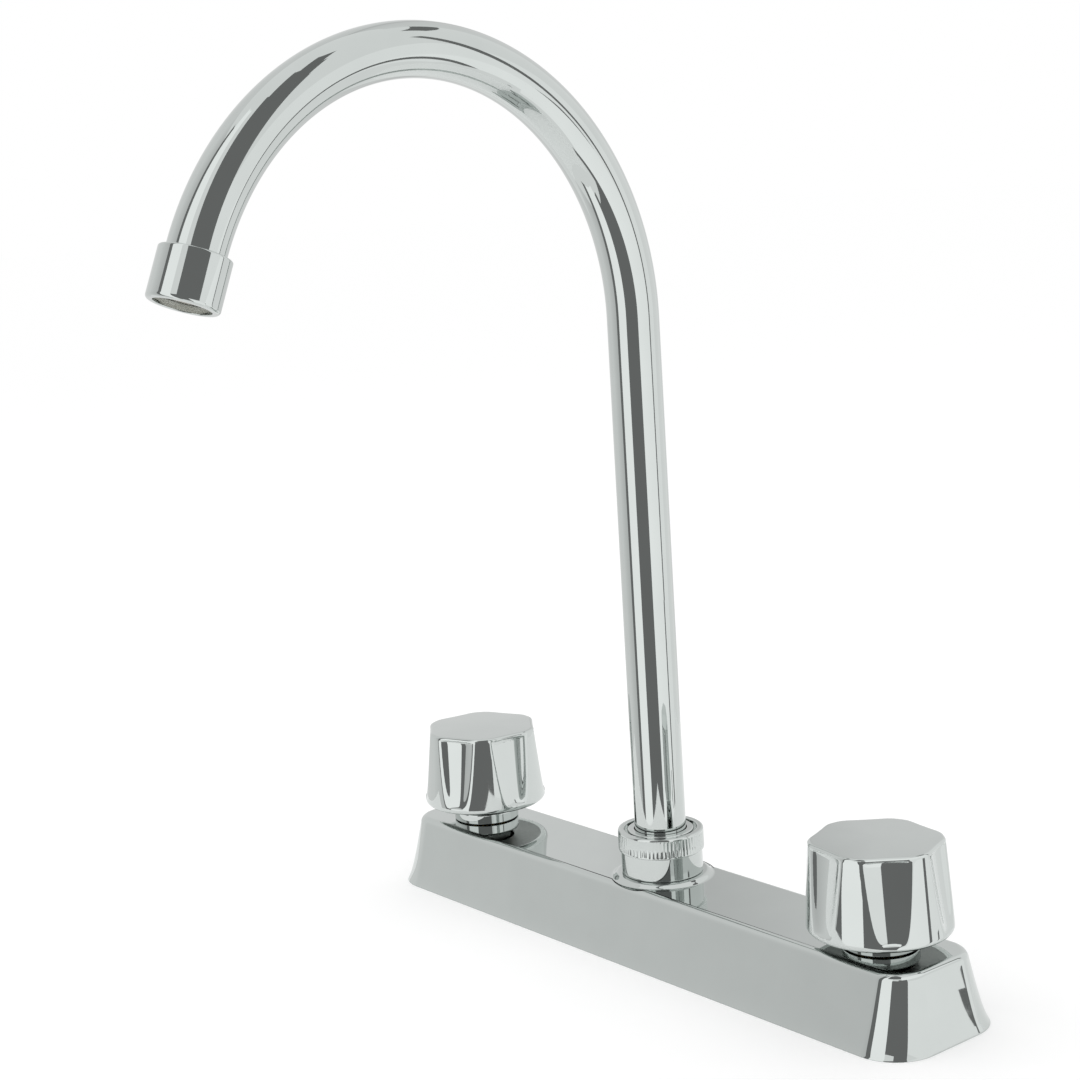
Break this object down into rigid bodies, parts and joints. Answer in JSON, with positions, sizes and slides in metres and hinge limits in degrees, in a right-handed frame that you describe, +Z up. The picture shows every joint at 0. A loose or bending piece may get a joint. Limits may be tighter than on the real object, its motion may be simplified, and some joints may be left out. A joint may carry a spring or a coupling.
{
  "type": "two handle kitchen faucet",
  "caption": "Deck-mounted kitchen faucet with a long chromed cover, two fluted knobs on quarter-turn valves and a swivelling gooseneck spout.",
  "frame": {"origin": "centre of the seat on the sink deck, on the axis of the spout's swivel", "axes": "+Z up along the swivel axis, +X along the cover towards the cold side, -Y to the front, where the spout reaches"},
  "size_m": [0.262, 0.2235, 0.3266],
  "materials": {
    "chrome": "polished chrome plate",
    "brass": "cast and turned brass",
    "copper": "drawn copper tube",
    "steel": "stainless steel",
    "ceramic": "ground alumina",
    "rubber": "matt rubber",
    "black_plastic": "moulded",
    "white_plastic": "moulded"
  },
  "bodies": {
    "base": {"deck_cover": "chrome", "base_plate": "black_plastic", "outlet_hub": "brass", "crossover_tube_hot": "copper", "crossover_tube_cold": "copper", "glide_washer": "white_plastic", "coupling_nut": "chrome", "valve_body_hot": "brass", "cover_nut_hot": "chrome", "cartridge_hot": "brass", "seat_seal_hot": "rubber", "fixed_disc_hot": "ceramic", "valve_body_cold": "brass", "cover_nut_cold": "chrome", "cartridge_cold": "brass", "seat_seal_cold": "rubber", "fixed_disc_cold": "ceramic"},
    "spout": {"spout_tube": "chrome", "spout_foot": "brass", "spout_o_ring_1": "rubber", "spout_o_ring_2": "rubber", "spout_trim_ring": "chrome", "spout_tip_adapter": "brass", "aerator_housing": "chrome", "aerator_washer": "rubber", "aerator_screen": "steel", "aerator_strainer": "white_plastic"},
    "hot_knob": {"knob_hot": "chrome", "knob_insert_hot": "white_plastic", "knob_grip_ring_hot": "steel", "spindle_hot": "brass", "spindle_o_ring_hot": "rubber", "turning_disc_hot": "ceramic"},
    "cold_knob": {"knob_cold": "chrome", "knob_insert_cold": "white_plastic", "knob_grip_ring_cold": "steel", "spindle_cold": "brass", "spindle_o_ring_cold": "rubber", "turning_disc_cold": "ceramic"}
  },
  "joints": [
    {"name": "spout_swivel", "type": "hinge", "parent": "base", "child": "spout", "pos_m": [0, 0, 0.04], "axis": [0, 0, 1], "continuous": true},
    {"name": "knob_hot_turn", "type": "hinge", "parent": "base", "child": "hot_knob", "pos_m": [-0.1016, 0, 0.04], "axis": [0, 0, 1], "range_deg": [0, 90]},
    {"name": "knob_cold_turn", "type": "hinge", "parent": "base", "child": "cold_knob", "pos_m": [0.1016, 0, 0.04], "axis": [0, 0, 1], "range_deg": [-90, 0]}
  ]
}
